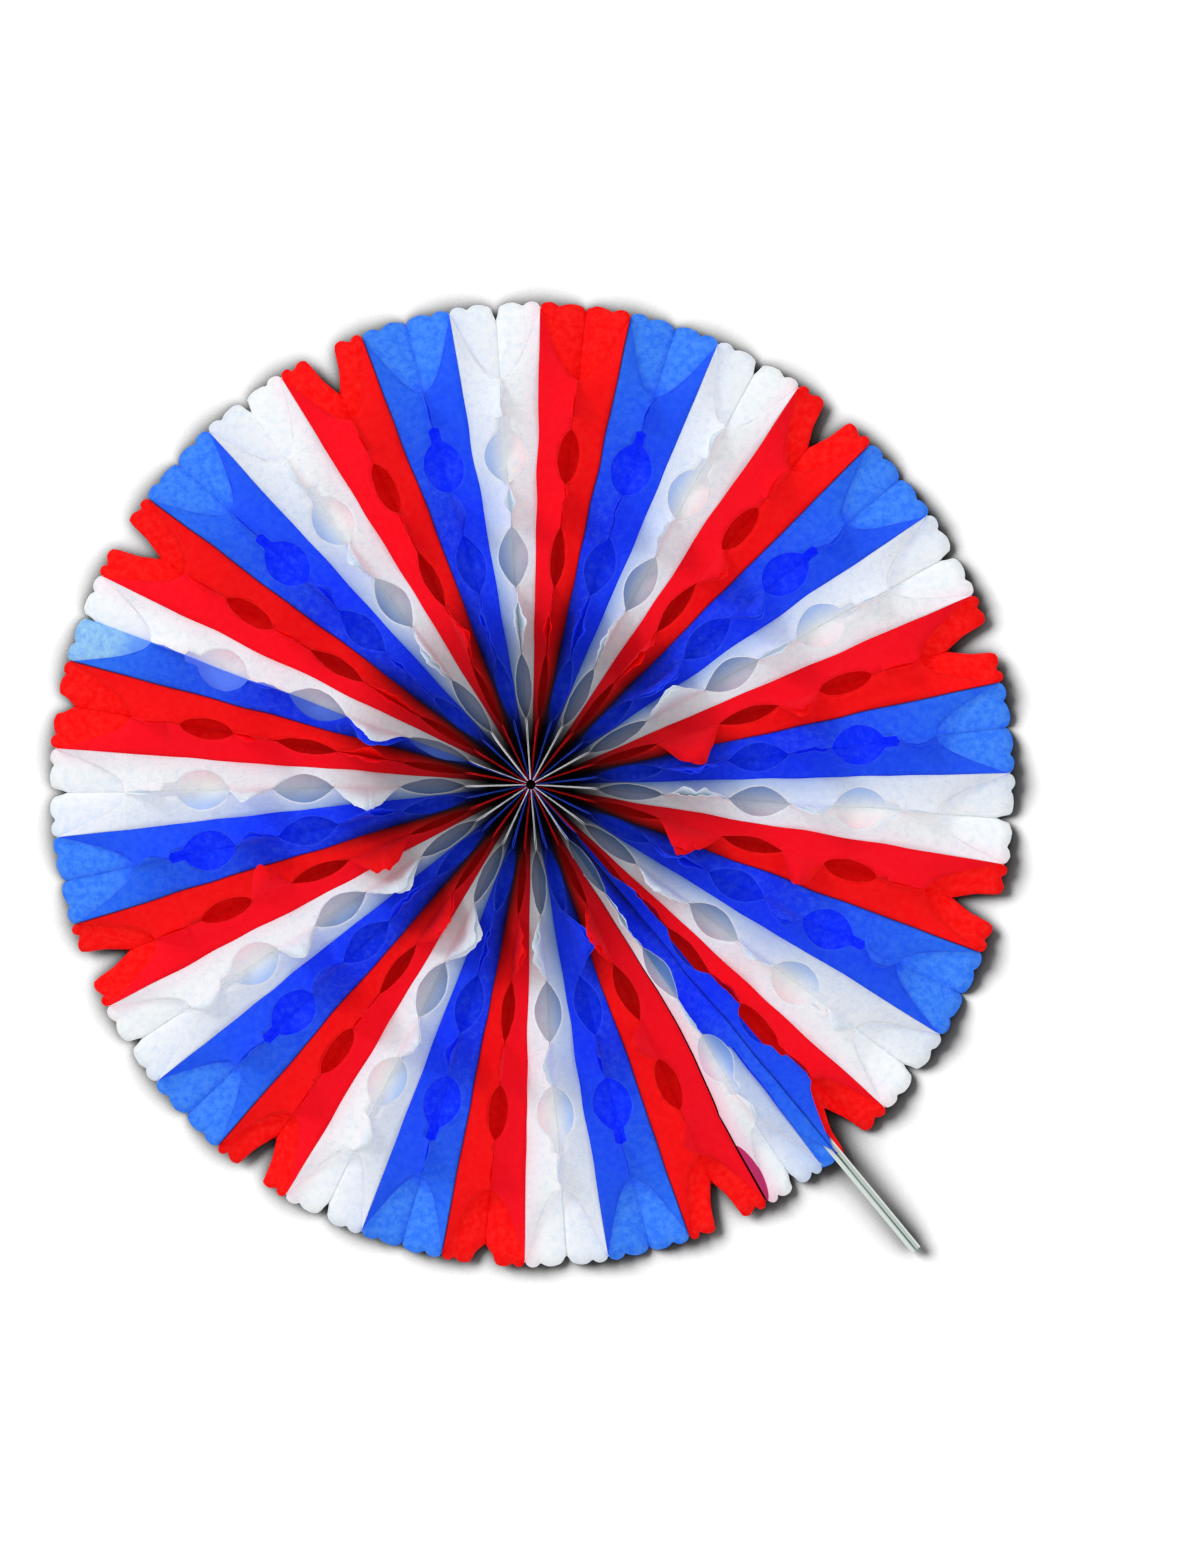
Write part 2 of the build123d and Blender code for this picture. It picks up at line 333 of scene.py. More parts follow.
    shader = nodes.add("ShaderNodeBsdfPrincipled", None, {
        "Base Color": lit,
        "Roughness": tissue["roughness"],
        "Specular IOR Level": tissue["specular"],
        # painted glow: the tissue's own colour given out as light
        "Emission Color": nodes.scaled(lit, layer.above(tissue["frontGlow"])),
        "Emission Strength": tissue["glow"],
        "Normal": nodes.add("ShaderNodeBump", None, {
            "Strength": tissue["bump"], "Distance": tissue["bumpDepth"],
            "Height": fibres * 0.5 + clouds}, "Normal"),
    })
    nodes.add("ShaderNodeOutputMaterial", None, {"Surface": shader})
    return material


tissues = {name: makeTissue(name) for name in ("red", "white", "blue")}
print("tissue made")

# The folded sheet, in millimetres and degrees
fold = {
    "hubRadius": 6.0,
    "innerRadius": 3.0,           # the crests run in over the binding
    "rimRadius": 300.0,
    "valleyRadius": 296.5,        # the rim between its scallops
    "seamHub": 31.0,              # the glued seam's lower edge at the hub
    "seamRim": 9.0,
    "seamHeight": 6.0,
    "ridgeRise": 9.0,             # the front fold line over the seams, at the rim
    "wingBow": 1.5,               # above 1 a front wing curves up towards its fold
    "backBow": 0.4,               # below 1 a back wing is flat beside its seam
    "archTip": 252.0,             # from here to the rim the front opens in an arch
    "archPower": 0.55,
    "archDrop": 4.6,              # how far the front sinks towards the back at the rim
    "sinkReach": (22.0, 14.0),    # how far before and after the arch's tip it sinks
    "openings": {                 # inner end, outer end, half width, power
        "outer": (187.0, 220.0, 12.4, 0.55),
        "middle": (122.0, 159.5, 8.8, 0.85),
        "inner": (41.5, 80.5, 4.5, 0.7),
    },
    "redOpening": 0.5,            # the width of a red sheet's openings, as a share of the others'
    "tab": (216.0, 228.5, 3.1),   # inner end, outer end, half width
    "crests": {                   # inner end, outer end, height, power
        "outer": (228.5, 252.0, 11.0, 1.2),
        "middle": (159.5, 187.0, 27.0, 1.2),
        "inner": (80.5, 122.0, 33.0, 1.3),
    },
    "hubCrest": (34.0, 41.5, 31.0, 0.7),    # end at full height, foot, height, power
    "crestOpenHeight": 12.0,      # at this height a crest's edge is fully in the light
    "wingOpen": 0.55,             # a wing's share of the light, beside its crest's
    "backOpen": (5, 45),          # radii over which the back comes into the light
    "mostLean": 0.66,             # of a crest's height, to the side
    "seamScallopShare": 0.42,     # of the rim from a notch to the seam
    "scallopPower": 0.5,          # 1 is a sine wave, less is rounder
    "lipStart": 0.75,             # the lips beside a notch, from this share of its half angle
    "lipEnd": (0.006, 0.002),     # in radians, before and after the next scallop
    "notchPower": 0.8,
    "sideCutStart": (192, 204),   # where the sheet beside the bars is cut back
    "crestStop": (190, 204),
    "keelAside": 0.1,             # how far the keel of half a back stands from the fold
    "keelSeamGap": 20.0,
    "farOff": 99.0,               # where there is no edge near
    "wingGap": 0.25,              # how far the glued seam and the crest keep the wings apart
    "crestGap": 0.2,
    "liftGap": 0.6,
    "hubGap": 0.35,               # the share of it that is left at the hub
    "hubGapEnd": 60,
    "wrinkle": 1.4,
    "crestWrinkle": 0.6,          # a crest's share of it, and how far it waves from side to side
    "crestWave": 1.2,
    "frill": 0.55,                # how uneven a crest's height is
    "curl": 1.1,                  # how unevenly the crests curl
    "curlStart": (30, 90),
    "calmHub": (20, 120),         # no wrinkles at the hub
    "spread": 0.05,               # how far the two free edges of a crest part
    "cutRipple": 1.3,             # how uneven the openings' edges are
    "cutEnds": 3,
    "rimRipple": 2.4,
    "rippleScales": {"rim": 0.11, "back": 0.06, "front": 0.07, "cut": 0.3, "frill": 0.22, "curl": 0.15},
    "ripplePlaces": {"cut": 31, "frill": 9, "curl": 21},    # so that no two edges ripple alike
    "rippleStretch": 0.45,        # along the sheet
    "rippleStep": 37,             # from sheet to sheet
    "toneStep": 2.4,              # how the sheets' and wings' tones differ
    "wingToneStep": 1.7,
    "backTone": 0.03,
    "frontTone": 0.04,
    "drift": 1.4,                 # how far the seams stray from straight lines, from side to side
    "driftScale": 0.022,
    "driftLevel": 3.0,
    "driftHub": (12, 60),
    "driftRim": (190, 285),
    # the cells beside the bars are drawn together between these radii
    "squeeze": {"seam": 150.5, "reach": 7.0, "most": -2.1, "start": 45.0, "end": 235.0, "power": 0.8},
    "thickness": 0.0002,
    "mergeDistance": 0.00002,
    "backRows": 34,
    "backColumns": 44,
    "keelColumns": 2,
    "frontRows": 215,
    "frontColumns": 9,
    "finColumns": 3,
}
foldInputs = {
    "Half Pitch": 5.4, "Turn": 0.0, "Opening": 1.0, "Tabbed": 1.0, "Notch Angle": 0.5, "Notch Depth": 10.0,
    "Notch Shift": 0.0, "Rim Cut": 0.0, "Bend Outer": 0.0, "Bend Middle": 0.0, "Bend Inner": 0.0,
    "Bend Hub": 0.0, "Back First": -1.0, "Back Last": 1.0, "Left Wing": 1.0, "Right Wing": 1.0, "Keel": 1.0,
    "Lip": 3.5, "Sink": 1.0, "Lift": 0.0, "Side Cut": 0.0, "Tint": 1.0, "Blush": 0.0, "Seed": 0.0,
}


def makeFoldTree():
    tree = bpy.data.node_groups.new("foldedSheet", "GeometryNodeTree")
    tree.interface.new_socket("Geometry", in_out="OUTPUT", socket_type="NodeSocketGeometry")
    for name, start in foldInputs.items():
        made = tree.interface.new_socket(name, in_out="INPUT", socket_type="NodeSocketFloat")
        made.default_value = start
    tree.interface.new_socket("Tissue", in_out="INPUT", socket_type="NodeSocketMaterial")
    nodes = Nodes(tree)

    def taken(name):
        return nodes.add("NodeGroupInput", output=name)

    half = taken("Half Pitch").inRadians()
    seed = taken("Seed")
    acrossGrid, alongGrid, _ = nodes.add("GeometryNodeInputPosition").parts()
    across = acrossGrid + 0.5
    along = alongGrid + 0.5

    def grid(columns, rows):
        return nodes.add("GeometryNodeMeshGrid", None, {
            "Size X": 1.0, "Size Y": 1.0, "Vertices X": columns + 1, "Vertices Y": rows + 1}, "Mesh")

    def vector(x, y, z):
        return nodes.add("ShaderNodeCombineXYZ", None, {0: x, 1: y, 2: z})

    def noise(x, y, name):
        spot = vector(x, y * fold["rippleStretch"], seed * fold["rippleStep"])
        scale = fold["rippleScales"][name]
        return nodes.add("ShaderNodeTexNoise", None, {"Vector": spot, "Scale": scale, "Detail": 3.0}) - 0.5

    def edgeNoise(side, outward, name):
        return noise(side * fold["ripplePlaces"][name], outward, name)

    def toned(side, most):  # each wing a little lighter or darker than the next
        return 1 + (seed * fold["toneStep"] + side * fold["wingToneStep"]).sine() * most

    def placed(lateral, outward, height):  # clockwise about the hub, in metres, with the seams astray
        squeeze = fold["squeeze"]
        radius = (lateral * lateral + outward * outward) ** 0.5
        angle = lateral.math("ARCTAN2", lateral, outward) + taken("Turn").inRadians()
        stray = nodes.add("ShaderNodeTexNoise", None, {
            "Vector": vector(angle.sine() * radius, angle.cosine() * radius, fold["driftLevel"]),
            "Scale": fold["driftScale"], "Detail": 1.0}) - 0.5
        calm = radius.share(*fold["driftHub"]) * (1 - radius.share(*fold["driftRim"]))
        near = (1 - ((angle - radians(squeeze["seam"])).size() / radians(squeeze["reach"]))).atLeast(0)
        pull = near * radius.share(squeeze["start"], squeeze["end"]).hump(squeeze["power"])
        angle = angle + stray * calm * radians(fold["drift"]) + pull * radians(squeeze["most"])
        return vector(angle.sine() * radius * 0.001, angle.cosine() * radius * 0.001, height * 0.001)

    def laid(geometry, place, lie, light):  # the grid's own places are read until its points move, last
        stain = vector(taken("Tint"), taken("Blush"), 0)
        for name, value in {"lie": lie, "light": light, "stain": stain}.items():
            geometry = nodes.add("GeometryNodeStoreNamedAttribute",
                                 {"data_type": "FLOAT_VECTOR", "domain": "POINT"},
                                 {"Geometry": geometry, "Name": name, "Value": value})
        return nodes.add("GeometryNodeSetPosition", None, {"Geometry": geometry, "Position": place})

    def seamLevel(outward):
        return fold["seamHub"] + outward * ((fold["seamRim"] - fold["seamHub"]) / fold["rimRadius"])

    def foldLevel(outward):
        return (fold["seamHub"] - outward * (fold["seamHub"] / fold["rimRadius"])).atLeast(0)

    def rimAt(signed):  # the scalloped rim's radius, with the notch at the fold and its lips
        shift = taken("Notch Shift").inRadians()
        offset = signed - shift
        angle = offset.size()
        reach = half - shift * offset.sign()
        notchAngle = taken("Notch Angle").inRadians()
        joint = reach - (reach - notchAngle) * fold["seamScallopShare"]
        depth = fold["rimRadius"] - fold["valleyRadius"]
        scallop = angle.share(joint, reach).hump(fold["scallopPower"]) * depth
        notch = (1 - angle.share(0, notchAngle)) ** fold["notchPower"] * (taken("Notch Depth") - depth)
        before, after = fold["lipEnd"]
        lowered = (taken("Lip") - depth) * (1 - angle.share(joint - before, joint + after))
        lip = angle.share(notchAngle * fold["lipStart"], joint).hump(fold["scallopPower"])
        lip = lip * taken("Lip") - lowered
        rim = fold["valleyRadius"] + scallop + lip - notch - taken("Rim Cut")
        return rim + noise(signed * fold["rimRadius"], seed, "rim") * fold["rimRipple"]

    def back():  # two wings from the fold to the seams
        u = taken("Back First") + (taken("Back Last") - taken("Back First")) * across
        signed = u * half
        radius = fold["hubRadius"] + (rimAt(signed) - fold["hubRadius"]) * along
        lateral = signed.sine() * radius
        outward = signed.cosine() * radius
        free = (u.size() * pi).sine() * along
        height = (seamLevel(outward) - foldLevel(outward)) * u.size() ** fold["backBow"]
        height = foldLevel(outward) + height + noise(lateral, outward, "back") * free * fold["wrinkle"]
        height = (height + taken("Lift")).atLeast(0)
        seamGap = (half - signed.size()) * radius
        openness = radius.share(*fold["backOpen"])
        light = vector(fold["farOff"], openness, toned(u.sign(), fold["backTone"]))
        return laid(grid(fold["backColumns"], fold["backRows"]), placed(lateral, outward, height),
                    vector(1.0, u, seamGap), light)

    def keel():  # the back fold pressed flat together, down to what the fan lies on
        end = fold["rimRadius"] - taken("Notch Depth")
        outward = fold["hubRadius"] + (end - fold["hubRadius"]) * along
        aside = (taken("Back First") + taken("Back Last")) * fold["keelAside"]
        place = placed(aside, outward, foldLevel(outward) * across)
        return laid(grid(fold["keelColumns"], fold["backRows"]), place,
                    vector(1.0, 0.0, fold["keelSeamGap"]), vector(fold["farOff"], 1.0, 1.0))

    def cutAt(side, outward, seamReach, rimOutward):  # how far the front is cut away beside its fold
        cut = 0.0
        for inner, outer, halfWidth, power in fold["openings"].values():
            cut = (outward.share(inner, outer).hump(power) * taken("Opening") * halfWidth).atLeast(cut)
        start, end, halfWidth = fold["tab"]
        inTab = (outward > start) * (outward < end) * taken("Tabbed")
        cut = cut.atLeast(inTab * halfWidth)
        cut = cut + edgeNoise(side, outward, "cut") * cut.share(0, fold["cutEnds"]) * fold["cutRipple"]
        arch = outward.share(fold["archTip"], rimOutward) ** fold["archPower"] * seamReach
        sideCut = outward * taken("Side Cut").inRadians().tangent() * outward.share(*fold["sideCutStart"])
        return cut.atLeast(arch).atLeast(sideCut)

    def crestAt(side, outward):  # height and bend of the paper left standing between the openings
        hubEnd, hubFoot, hubHeight, hubPower = fold["hubCrest"]
        crest = 0.0
        bend = (outward < hubFoot) * taken("Bend Hub") * outward.share(0, hubFoot)
        for name, (inner, outer, most, power) in fold["crests"].items():
            crest = outward.share(inner, outer).hump(power) * most + crest
            inside = (outward > inner) * (outward < outer)
            bend = inside * taken("Bend " + name.capitalize()) + bend
        crest = (1 - outward.share(hubEnd, hubFoot)) ** hubPower * hubHeight + crest
        crest = crest * (1 + edgeNoise(side, outward, "frill") * fold["frill"])
        crest = crest * (1 - outward.share(*fold["crestStop"]) * (taken("Side Cut") > 0))
        curl = edgeNoise(side, outward, "curl") * fold["curl"] + side * fold["spread"]
        return crest, bend.inRadians() + curl * outward.share(*fold["curlStart"]) + 0.0001    # never 0

    def front(side):  # one wing, from its seam band to its free edge
        steps = fold["frontColumns"]
        finStart = (steps - fold["finColumns"]) / steps
        band = across.share(0, 1 / steps)
        wing = across.share(1 / steps, finStart)
        fin = across.share(finStart, 1)
        rimOutward = half.cosine() * fold["valleyRadius"]
        outward = fold["innerRadius"] + (rimOutward - fold["innerRadius"]) * along
        seamReach = outward * half.tangent()
        cut = cutAt(side, outward, seamReach, rimOutward)
        crest, bend = crestAt(side, outward)
        x = seamReach + (cut - seamReach) * wing
        before, after = fold["sinkReach"]
        sink = outward.share(fold["archTip"] - before, fold["archTip"] + after) * taken("Sink")
        ridge = outward * (fold["ridgeRise"] / fold["rimRadius"]) * (1 - sink)
        band = band.atLeast(outward < fold["hubRadius"] + 1)
        z = seamLevel(outward) + band * fold["seamHeight"]
        z = z + ridge * (1 - x / seamReach).atLeast(0) ** fold["wingBow"] - sink * wing * fold["archDrop"]
        z = z + (bend * fin).sine() / bend * crest + taken("Lift")
        lean = (1 - (bend * fin).cosine()) / bend * crest
        calm = outward.share(*fold["calmHub"])
        bumpy = noise(x * side, outward, "front")
        z = z + bumpy * ((wing * pi).sine() + fin * fold["crestWrinkle"]) * fold["wrinkle"] * calm
        parted = wing * fold["wingGap"] + fin * fold["crestGap"] + taken("Lift") * fold["liftGap"] * wing
        parted = parted * outward.share(0, fold["hubGapEnd"]).above(fold["hubGap"])
        lateral = (x + parted) * side + lean + bumpy * fin * fold["crestWave"] * calm
        seamGap = (seamReach - x) + fin * crest
        edgeGap = (1 - fin) * crest + (1 - wing) * (seamReach - cut)
        openness = wing * fold["wingOpen"]
        openness = openness + fin * fin * crest.share(0, fold["crestOpenHeight"]) * (1 - fold["wingOpen"])
        turned = side * x / seamReach + side * 0.001    # its sign tells the wings apart at the fold too
        light = vector(edgeGap, openness, toned(side, fold["frontTone"]))
        return laid(grid(steps, fold["frontRows"]), placed(lateral, outward, z),
                    vector(0.0, turned, seamGap), light)

    def joined(pieces):
        return nodes.add("GeometryNodeJoinGeometry", None, {"Geometry": pieces})

    def chosen(geometry, name):
        return nodes.add("GeometryNodeSwitch", {"input_type": "GEOMETRY"},
                         {"Switch": taken(name) > 0.5, "True": geometry})

    folded = joined([back(), chosen(front(-1), "Left Wing"), chosen(front(1), "Right Wing")])
    folded = nodes.add("GeometryNodeMergeByDistance", None,
                       {"Geometry": folded, "Distance": fold["mergeDistance"]})
    folded = joined([folded, chosen(keel(), "Keel")])
    folded = nodes.add("GeometryNodeSetShadeSmooth", None, {"Geometry": folded, "Shade Smooth": True})
    folded = nodes.add("GeometryNodeRealizeInstances", None, {"Geometry": folded})
    folded = nodes.add("GeometryNodeSetMaterial", None, {"Geometry": folded, "Material": taken("Tissue")})
    nodes.add("NodeGroupOutput", None, {"Geometry": folded})
    return tree


foldTree = makeFoldTree()
inputNames = {item.name: item.identifier for item in foldTree.interface.items_tree if item.in_out == "INPUT"}
print("fold tree made")

# Cells clockwise, in degrees and millimetres
commonWidth = 10.96
cells = {
    "firstSeam": -10.0,
    "widths": [commonWidth] * 13 + [8.0, 10.3] + [10.03] * 7 + [10.67] * 6,
    "lastCells": 6,       # which share what is left of the circle
    "colours": (["white", "red", "blue"] * 4 + ["white", "red blue", "blue white"]
                + ["red", "blue", "white"] * 4 + ["red", "blue white", "red", "blue", "white", "red", "blue"]),
    "notches": {          # half angle, depth, height of the lips beside it
        "white": (0.5, 10.0, 3.5), "blue": (0.02, 3.5, 3.5), "red": (1.8, 27.0, 6.5),
    },
    "otherNotches": {     # in the cells that differ
        2: (0.02, 3.5, 3.5), 18: (0.5, 5.5, 3.5), 19: (1.5, 12.5, 3.5), 28: (1.2, 10.5, 3.5),
    },
    "leans": {            # how far each crest's tip leans in degrees about the hub: outer, middle, inner
        1: (0, 0, 1), 2: (0, 0.7, 0), 4: (-0.8, -1, -1.3), 5: (-0.6, 3.5, 2), 6: (1, 3, 3.8),
        7: (0, 0, -5.5), 8: (0, 3, 11), 9: (0.8, 0, 2), 10: (0, 1.3, -2), 11: (0, 5.8, 9),
        12: (1.5, 2.5, 1.5), 13: (2.8, 1.2, 3), 14: (-0.5, -0.8, -1), 15: (-1, 0.5, 0.5), 16: (1.5, 3, 3),
        17: (0, 1, -6.5), 18: (0.5, 1, 3), 19: (0, 1, -3.5), 20: (-0.3, 1, 0), 21: (-2, -2.7, -7),
        22: (0, 0, -5.5), 23: (0.5, 2, 1.2), 24: (-2.5, -4, -7), 25: (0, 5.5, -8.5), 26: (1, 1.5, 2.5),
        27: (0, -2, -7), 28: (-0.5, 0, 0.5), 29: (0, 0, -4), 31: (0, 1, 0), 32: (-1, -1.7, -3),
        33: (0, 0, 2), 34: (0, 2, 0),
    },
    "hubBend": 3,         # how far the crests at the hub bend, and how it differs from cell to cell
    "hubBendStep": 2.3,
    "special": {          # the two cells beside the bars and the cell of two colours on the other side
        "red_half_sheet_14": {"Right Wing": 0.0, "Notch Shift": 1.5, "Notch Angle": 1.7},
        "blue_half_sheet_14": {"Back First": 0.45, "Left Wing": 0.0, "Rim Cut": 45.0, "Keel": 0.0,
                               "Lift": 0.6, "Sink": 0.1},
        "blue_half_sheet_15": {"Turn": 146.65, "Half Pitch": 6.15, "Back Last": -0.6, "Right Wing": 0.0,
                               "Side Cut": 3.95, "Keel": 0.0, "Lift": 1.0, "Sink": 0.1},
        "white_half_sheet_15": {"Turn": 146.65, "Half Pitch": 3.85, "Tint": 2.6, "Blush": 1.0},
        "blue_half_sheet_29": {"Back Last": 0.0, "Right Wing": 0.0, "Blush": 1.0, "Bend Inner": -43.0},
        "white_half_sheet_29": {"Back First": 0.0, "Left Wing": 0.0},
    },
}
cells["widths"] += [(360 - sum(cells["widths"])) / cells["lastCells"]] * cells["lastCells"]


def bendOf(name, lean):  # the bend that brings a crest's tip so far to the side, found by halving
    inner, outer, height, _ = fold["crests"][name]
    aside = (inner + outer) / 2 * radians(lean)
    target = max(-fold["mostLean"], min(fold["mostLean"], aside / height))
    low, high = -2.0, 2.0
    for _ in range(40):
        middle = (low + high) / 2
        reached = (1 - cos(middle)) / middle if abs(middle) > 1e-6 else 0
        low, high = (middle, high) if reached < target else (low, middle)
    return degrees((low + high) / 2)


def addSheet(node, number, name, middle, width):
    piece = newObject("tissue" + node.title().replace("_", ""), bpy.data.meshes.new(node))
    modifier = piece.modifiers.new("fold", "NODES")
    modifier.node_group = foldTree
    leanOuter, leanMiddle, leanInner = cells["leans"].get(number, (0, 0, 0))
    notchAngle, notchDepth, lip = cells["otherNotches"].get(number, cells["notches"][name])
    values = {
        "Half Pitch": width / 2, "Turn": middle, "Tabbed": float(name != "red"),
        "Opening": (fold["redOpening"] if name == "red" else 1.0) * width / commonWidth,
        "Notch Angle": notchAngle, "Notch Depth": notchDepth, "Lip": lip,
        "Bend Outer": bendOf("outer", leanOuter), "Bend Middle": bendOf("middle", leanMiddle),
        "Bend Inner": bendOf("inner", leanInner),
        "Bend Hub": cells["hubBend"] * sin(number * cells["hubBendStep"]), "Seed": float(number),
    }
    values = {**foldInputs, **values, **cells["special"].get(node, {}), "Tissue": tissues[name]}
    for key, value in values.items():
        modifier[inputNames[key]] = value
    shell = piece.modifiers.new("thickness", "SOLIDIFY")
    shell.thickness = fold["thickness"]
    shell.offset = 0
    bpy.context.view_layer.update()
    shape = piece.evaluated_get(bpy.context.evaluated_depsgraph_get())
    mesh = bpy.data.meshes.new_from_object(shape)
    piece.modifiers.clear()
    piece.data = mesh
    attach(piece, "root")
    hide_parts(node)
    name + "_tissue"
    return piece


seam = cells["firstSeam"]
triangles = 0
for number, (width, names) in enumerate(zip(cells["widths"], cells["colours"]), start=1):
    words = names.split()
    for name in words:
        node = f"{name}_sheet_{number:02d}" if len(words) == 1 else f"{name}_half_sheet_{number:02d}"
        piece = addSheet(node, number, name, seam + width / 2, width)
        triangles += sum(len(face.vertices) - 2 for face in piece.data.polygons)
    seam += width
print("sheets made,", triangles, "triangles")

# Closing bars
bars = {
    "upper_handle_bar": {
        "face": colour(196, 212, 205), "edge": colour(250, 252, 250), "side": -1,
        "edgeFrom": (0.74, 0.84),    # shares of the width, from the seam between the bars
    },
    "lower_handle_bar": {
        "face": colour(232, 242, 236), "edge": colour(150, 168, 160), "side": 1,
        "edgeFrom": (0.3, 0.16),
    },
    "angle": 140.5,           # of the seam between them, clockwise
    "width": 3.3,
    "roughness": 0.4,
    "bump": 0.25,
    "bumpDepth": 0.0003,
    "streakLength": 0.06,     # the smaller, the longer
    "streakScale": 1.6,
    "streaks": (0.35, 0.7),
    "streakShare": 0.18,
    "streakShade": 0.7,       # how dark a streak is beside its bar's face
    "bevel": 0.0004,
    "outOfPaper": (286.0, 290.0),    # up to here from the hub the closing sheets' tissue covers the bars
    "papered": colour(10, 30, 150),
}


def makeBarMaterial(name):
    shades = bars[name]
    material, nodes = newMaterial(name)
    turned = nodes.add("ShaderNodeMapping", None, {
        "Vector": nodes.add("ShaderNodeTexCoord", output="Object"),
        "Rotation": (0, 0, radians(bars["angle"])), "Scale": (1000, 1000, 1000)})
    aside, along, _ = turned.parts()
    stretched = nodes.add("ShaderNodeCombineXYZ", None, {0: aside, 1: along * bars["streakLength"]})
    streaks = nodes.add("ShaderNodeTexNoise", None, {
        "Vector": stretched, "Scale": bars["streakScale"], "Detail": 5.0})
    streaked = tuple(part * bars["streakShade"] for part in shades["face"][:3]) + (1,)
    tone = nodes.mixColours(streaks.share(*bars["streaks"]) * bars["streakShare"], shades["face"], streaked)
    atEdge = (aside * shades["side"] / bars["width"]).share(*shades["edgeFrom"])
    tone = nodes.mixColours(atEdge, tone, shades["edge"])
    tone = nodes.mixColours(1 - along.size().share(*bars["outOfPaper"]), tone, bars["papered"])
    shader = nodes.add("ShaderNodeBsdfPrincipled", None, {
        "Base Color": tone,
        "Roughness": bars["roughness"],
        "Normal": nodes.add("ShaderNodeBump", None, {
            "Strength": bars["bump"], "Distance": bars["bumpDepth"], "Height": streaks}, "Normal"),
    })
    nodes.add("ShaderNodeOutputMaterial", None, {"Surface": shader})
    return material


for node in ("upper_handle_bar", "lower_handle_bar"):
    mesh = bmesh.new()
    mesh.from_mesh(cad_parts[node].data)
    bmesh.ops.remove_doubles(mesh, verts=mesh.verts, dist=1e-6)
    bmesh.ops.dissolve_limit(mesh, angle_limit=radians(1), verts=mesh.verts, edges=mesh.edges)
    bmesh.ops.bevel(mesh, geom=mesh.edges[:], offset=bars["bevel"], segments=3, affect="EDGES", profile=0.5)
    made = bpy.data.meshes.new(node)
    mesh.to_mesh(made)
    mesh.free()
    made.materials.append(makeBarMaterial(node))
    piece = newObject("bar" + node.title().replace("_", ""), made)
    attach(piece, "root")
    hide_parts(node)
print("bars made")

# Binding at the hub
binding = {
    "light": colour(90, 88, 86),
    "dark": colour(50, 48, 46),
    "twistScale": 900.0,
    "distortion": 1.0,
    "roughness": 0.8,
}


def makeThread():
    material, nodes = newMaterial("thread")
    twist = nodes.add("ShaderNodeTexWave", {"bands_direction": "DIAGONAL"}, {
        "Vector": nodes.add("ShaderNodeTexCoord", output="Object"),
        "Scale": binding["twistScale"], "Distortion": binding["distortion"]}, "Fac")
    shader = nodes.add("ShaderNodeBsdfPrincipled", None, {
        "Base Color": nodes.mixColours(twist, binding["light"], binding["dark"]),
        "Roughness": binding["roughness"]})
    nodes.add("ShaderNodeOutputMaterial", None, {"Surface": shader})
    return material


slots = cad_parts["hub_tie"].data.materials
slots.clear()
slots.append(makeThread())
print("binding made")

# Floor, light and camera
studio = {
    "cameraPlace": (0.0421, 0.0037, 2.6),
    "frameHeight": 0.9632,
    "subjectHeight": 0.02,
    "floorSize": 3.0,
    "floorDrop": 0.0003,
    "floorShade": 0.18,
    "floorSeen": 0.26,            # as the camera sees it, so that the floor is white outside the shadow
    "contact": 0.032,             # how far the fan's own shade on the floor reaches
    "contactDepth": 2.8,
    "contactLeast": 0.01,
    "sun": {"from": (-0.95, 0.85, 1.0), "angle": 20.0, "energy": 0.75},
    # on the floor alone, for the deep shadow beside the fan
    "floorSun": {"from": (-1.35, 0.7, 1.0), "angle": 38.0, "energy": 22.0},
    "skyStrength": 0.7,
}


def seenBy(nodes):  # 1 for rays that show the surroundings as they look
    seen = nodes.add("ShaderNodeLightPath", output="Is Camera Ray")
    for ray in ("Is Glossy Ray", "Is Transmission Ray"):
        seen = seen.atLeast(nodes.add("ShaderNodeLightPath", output=ray))
    return seen


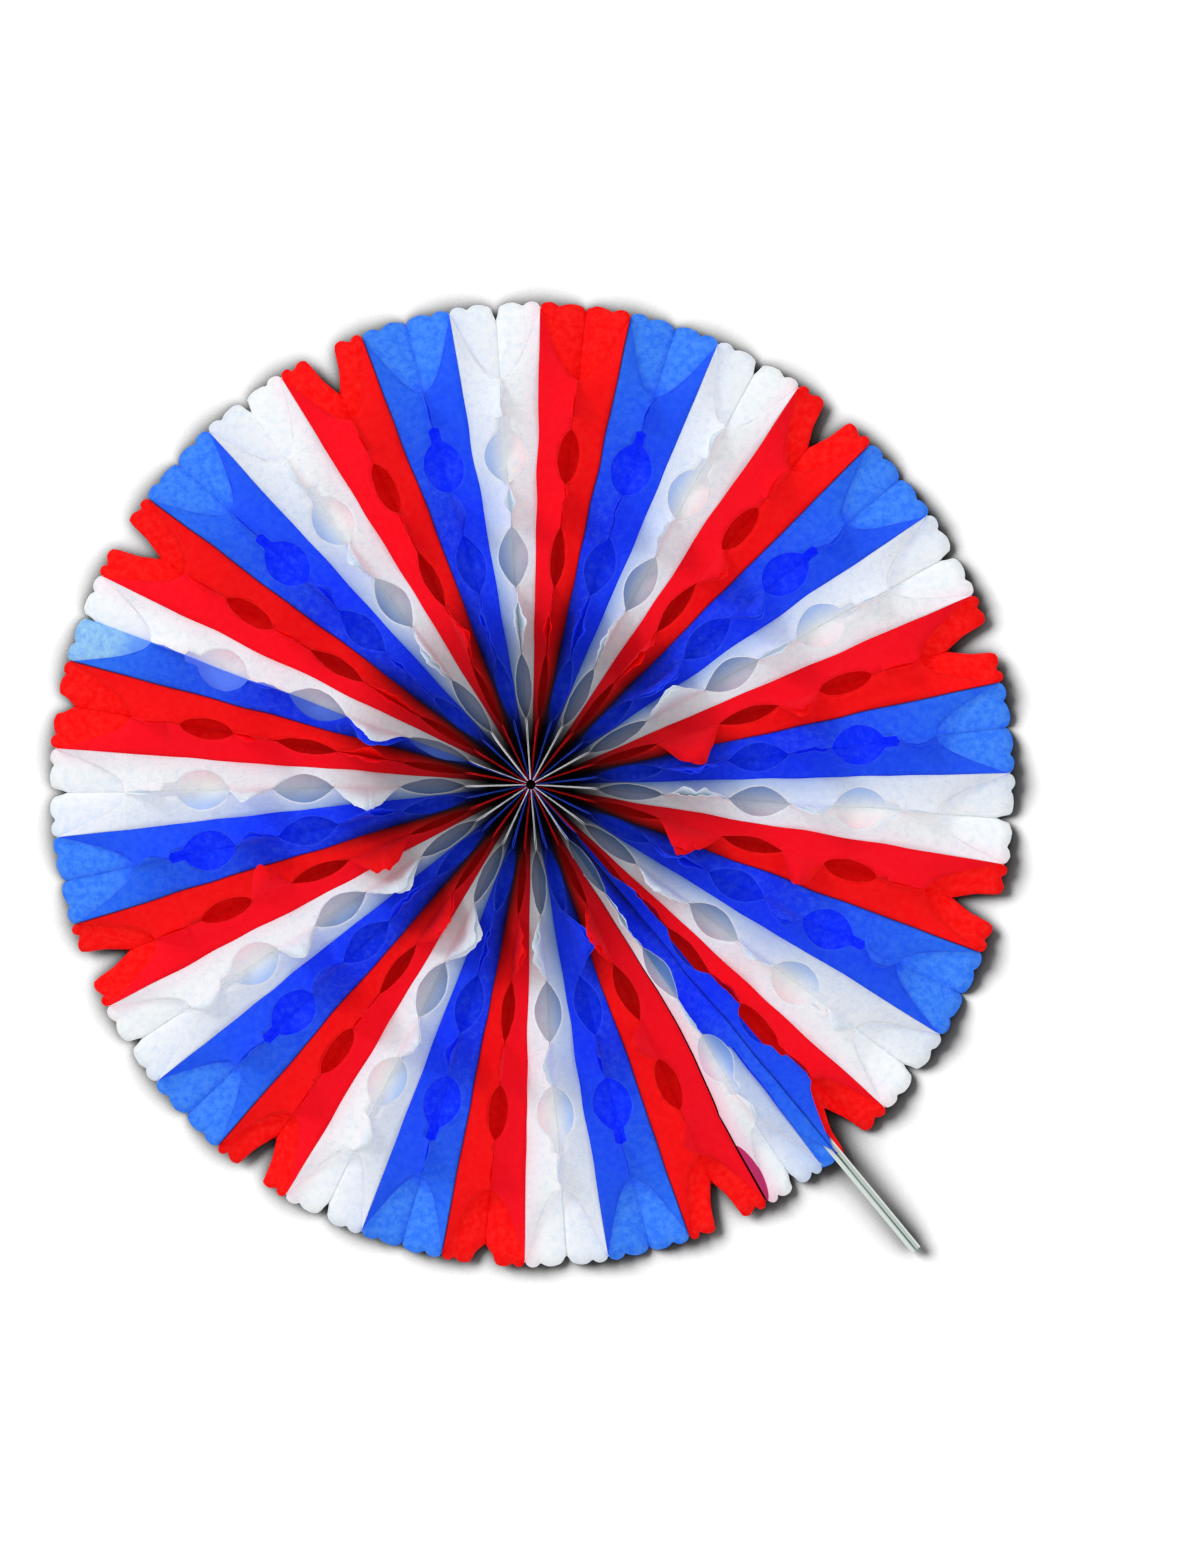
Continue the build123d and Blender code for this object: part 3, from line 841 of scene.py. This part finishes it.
def grey(level):
    return (level, level, level, 1)


def makeFloor():
    edge, down = studio["floorSize"], -studio["floorDrop"]
    mesh = bpy.data.meshes.new("floor")
    mesh.from_pydata([(-edge, -edge, down), (edge, -edge, down), (edge, edge, down), (-edge, edge, down)],
                     [], [(0, 1, 2, 3)])
    material, nodes = newMaterial("floor")
    shade = nodes.mixColours(seenBy(nodes), grey(studio["floorShade"]), grey(studio["floorSeen"]))
    near = nodes.add("ShaderNodeAmbientOcclusion", {"samples": 8}, {"Distance": studio["contact"]}, "AO")
    shade = nodes.scaled(shade, near.atLeast(studio["contactLeast"]) ** studio["contactDepth"])
    shader = nodes.add("ShaderNodeBsdfPrincipled", None, {
        "Base Color": shade, "Roughness": 1.0, "Specular IOR Level": 0.0})
    nodes.add("ShaderNodeOutputMaterial", None, {"Surface": shader})
    mesh.materials.append(material)
    return newObject("floor", mesh)


def addSun(name):
    sun = bpy.data.lights.new(name, "SUN")
    sun.energy = studio[name]["energy"]
    sun.angle = radians(studio[name]["angle"])
    made = newObject(name, sun)
    made.rotation_euler = Vector(studio[name]["from"]).to_track_quat("Z", "Y").to_euler()
    return made


floor = makeFloor()
addSun("sun")
floorOnly = bpy.data.collections.new("floorOnly")
floorOnly.objects.link(floor)
addSun("floorSun").light_linking.receiver_collection = floorOnly

world = bpy.data.worlds.new("studio")
bpy.context.scene.world = world
world.use_nodes = True
world.node_tree.nodes.clear()
skyNodes = Nodes(world.node_tree)
strength = seenBy(skyNodes).above(studio["skyStrength"])
sky = skyNodes.add("ShaderNodeBackground", None, {"Color": grey(1), "Strength": strength})
skyNodes.add("ShaderNodeOutputWorld", None, {"Surface": sky})

lens = bpy.data.cameras.new("camera")
lens.sensor_fit = "VERTICAL"
lens.angle = 2 * atan(studio["frameHeight"] / 2 / (studio["cameraPlace"][2] - studio["subjectHeight"]))
camera = newObject("camera", lens)
camera.location = studio["cameraPlace"]
bpy.context.scene.camera = camera
bpy.context.scene.view_settings.view_transform = "Standard"
print("studio made")
